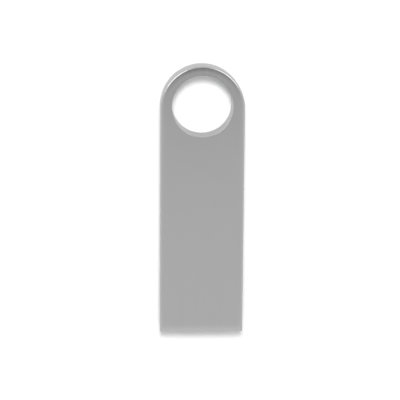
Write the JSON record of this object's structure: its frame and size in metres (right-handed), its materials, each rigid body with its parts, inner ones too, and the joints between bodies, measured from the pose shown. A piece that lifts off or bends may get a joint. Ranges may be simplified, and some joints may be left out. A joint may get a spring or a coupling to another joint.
{
  "type": "usb flash drive",
  "caption": "Flat metal USB flash drive with a plug-sized one-piece body, a rounded end with a key-ring eye, and a chip-on-board memory module inside.",
  "frame": {"origin": "centre of the flat rear face's length and width, on that face: the drive lies on it", "axes": "+Y towards the key-ring eye, -Y out of the plug mouth, +Z out of the plain front face, +X to the right seen from the front with the eye at the top"},
  "size_m": [0.012, 0.039, 0.0045],
  "materials": {
    "satin_metal": "satin",
    "black_plastic": "satin",
    "clear_film": "satin",
    "solder_mask": "satin",
    "epoxy": "matte",
    "silicon": "polished",
    "gold": "satin",
    "white_ceramic": "matte",
    "nickel_lid": "satin",
    "capacitor_ceramic": "matte",
    "resistor_glaze": "gloss",
    "ferrite": "matte",
    "fuse_green": "satin"
  },
  "bodies": {
    "root": {"housing": "satin_metal", "carrier_tray": "black_plastic", "module_cover": "black_plastic", "adhesive_film": "clear_film", "circuit_board": "solder_mask", "mould_cap": "epoxy", "controller_die": "silicon", "memory_die_upper": "silicon", "memory_die_lower": "silicon", "power_contact": "gold", "data_minus_contact": "gold", "data_plus_contact": "gold", "ground_contact": "gold", "crystal_base": "white_ceramic", "crystal_lid": "nickel_lid", "supply_capacitor": "capacitor_ceramic", "core_capacitor": "capacitor_ceramic", "memory_capacitor": "capacitor_ceramic", "crystal_capacitor_left": "capacitor_ceramic", "crystal_capacitor_right": "capacitor_ceramic", "data_minus_resistor": "resistor_glaze", "data_plus_resistor": "resistor_glaze", "reset_resistor": "resistor_glaze", "ferrite_bead": "ferrite", "resettable_fuse": "fuse_green"}
  },
  "joints": []
}
